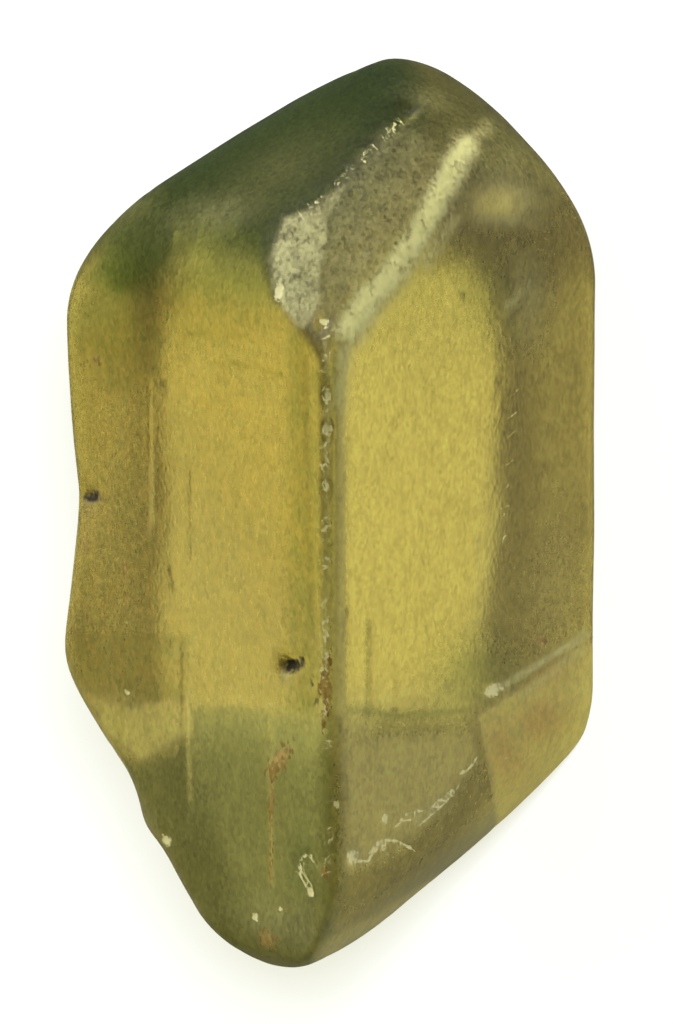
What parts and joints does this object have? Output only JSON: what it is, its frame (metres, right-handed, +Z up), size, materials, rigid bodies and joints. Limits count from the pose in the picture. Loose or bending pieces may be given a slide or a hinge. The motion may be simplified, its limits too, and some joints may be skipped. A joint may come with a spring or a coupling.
{
  "type": "zircon crystal",
  "caption": "Waterworn, doubly terminated square-prism zircon crystal, greenish yellow and see-through, lying on one prism face.",
  "frame": {"origin": "bottom centre of the bounding box, with the resting prism face on Z = 0", "axes": "+X along the crystal's c axis, towards the end with the sloping crown facets; +Z up, the normal of the prism face opposite the resting one; -Y is the normal of the clear prism face at the front"},
  "size_m": [0.015, 0.0066, 0.0066],
  "materials": {
    "zircon": "clear greenish yellow, frosted by wear"
  },
  "bodies": {
    "root": {"crystal": "zircon"}
  },
  "joints": []
}
